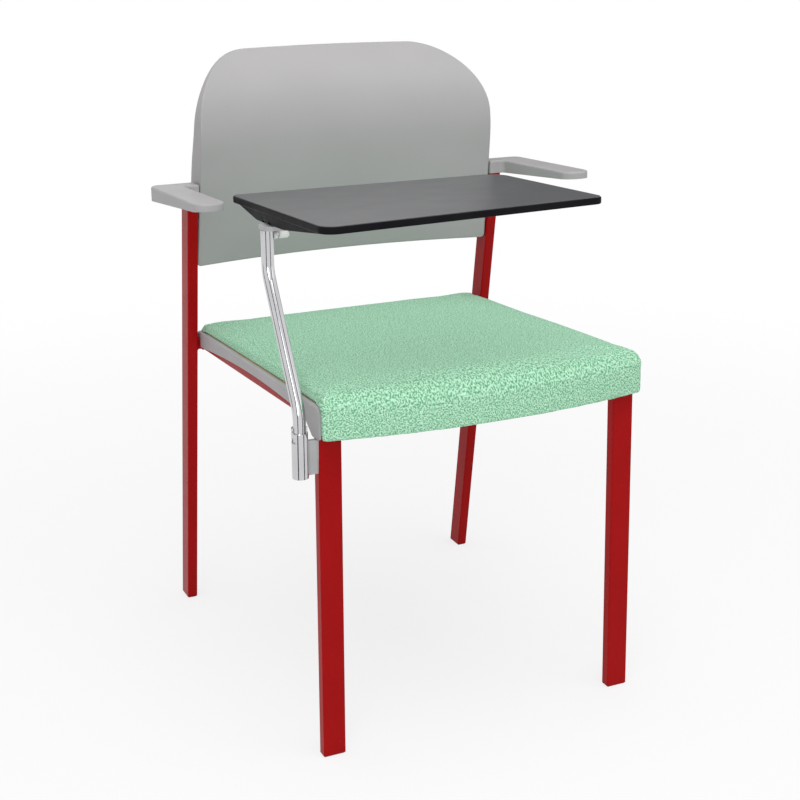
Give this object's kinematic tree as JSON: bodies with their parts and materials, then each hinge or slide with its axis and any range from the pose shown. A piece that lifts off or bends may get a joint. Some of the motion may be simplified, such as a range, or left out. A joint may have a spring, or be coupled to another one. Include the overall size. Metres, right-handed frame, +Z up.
{
  "type": "tablet arm chair",
  "caption": "Upholstered tube-frame chair with a hollow curved back, cantilevered armrests and a fold-up writing tablet on a lift-out swivel arm.",
  "frame": {"origin": "on the floor, under the middle of the chair's plan with the tablet in place", "axes": "+X towards the sitter's left, +Y towards the back of the chair, +Z up"},
  "size_m": [0.5756, 0.6173, 0.8305],
  "materials": {
    "red_frame": "gloss powder coat",
    "grey_plastic": "fine moulded grain",
    "green_fabric": "coarse flecked weave",
    "board_wood": "raw plywood",
    "chrome": "polished",
    "light_grey_metal": "satin",
    "dark_plastic": "satin",
    "tablet_laminate": "low sheen laminate",
    "white_plastic": "smooth",
    "black_plastic": "moulded",
    "zinc_steel": "zinc plated"
  },
  "bodies": {
    "frame": {"upright_hole_caps": "red_frame", "front_leg_left": "red_frame", "front_leg_right": "red_frame", "rear_upright_left": "red_frame", "rear_upright_right": "red_frame", "side_rail_left": "red_frame", "side_rail_right": "red_frame", "front_cross_rail": "red_frame", "rear_cross_rail": "red_frame", "seat_pan": "grey_plastic", "back_shell": "grey_plastic", "back_cover": "grey_plastic", "armrest_left": "grey_plastic", "armrest_right": "grey_plastic", "seat_cushion": "green_fabric", "seat_board": "board_wood", "arm_socket": "chrome", "socket_plate": "light_grey_metal", "front_foot_glides": "black_plastic", "rear_foot_glides": "black_plastic", "socket_base_plug": "black_plastic", "seat_screws": "zinc_steel", "back_screws": "zinc_steel", "back_cover_screws": "zinc_steel", "armrest_screws": "zinc_steel", "back_inserts": "zinc_steel"},
    "arm": {"arm_tube": "chrome", "arm_tube_plug": "black_plastic", "stop_pin": "zinc_steel", "clamp_washer": "zinc_steel"},
    "knob": {"clamp_knob": "white_plastic", "clamp_stem": "zinc_steel"},
    "bracket": {"hinge_bracket": "light_grey_metal", "hinge_knuckles": "dark_plastic", "hinge_pin": "zinc_steel"},
    "tablet": {"hinge_housing": "dark_plastic", "tablet_board": "dark_plastic", "tablet_top_sheet": "tablet_laminate", "tablet_screws": "zinc_steel"}
  },
  "joints": [
    {"name": "arm_lift", "type": "slide", "parent": "frame", "child": "arm", "axis": [0, 0, 1], "range_m": [0, 0.045]},
    {"name": "tablet_swivel", "type": "hinge", "parent": "arm", "child": "bracket", "pos_m": [-0.2427, -0.12402, 0.65949], "axis": [0, 0, -1], "range_deg": [0, 90]},
    {"name": "tablet_tilt", "type": "hinge", "parent": "bracket", "child": "tablet", "pos_m": [-0.2382, -0.12495, 0.67261], "axis": [0, -0.9983, 0.0576], "range_deg": [0, 90]},
    {"name": "clamp_knob_turn", "type": "hinge", "parent": "arm", "child": "knob", "pos_m": [-0.2427, -0.12402, 0.65249], "axis": [1, 0, 0], "range_deg": [0, 360]}
  ]
}
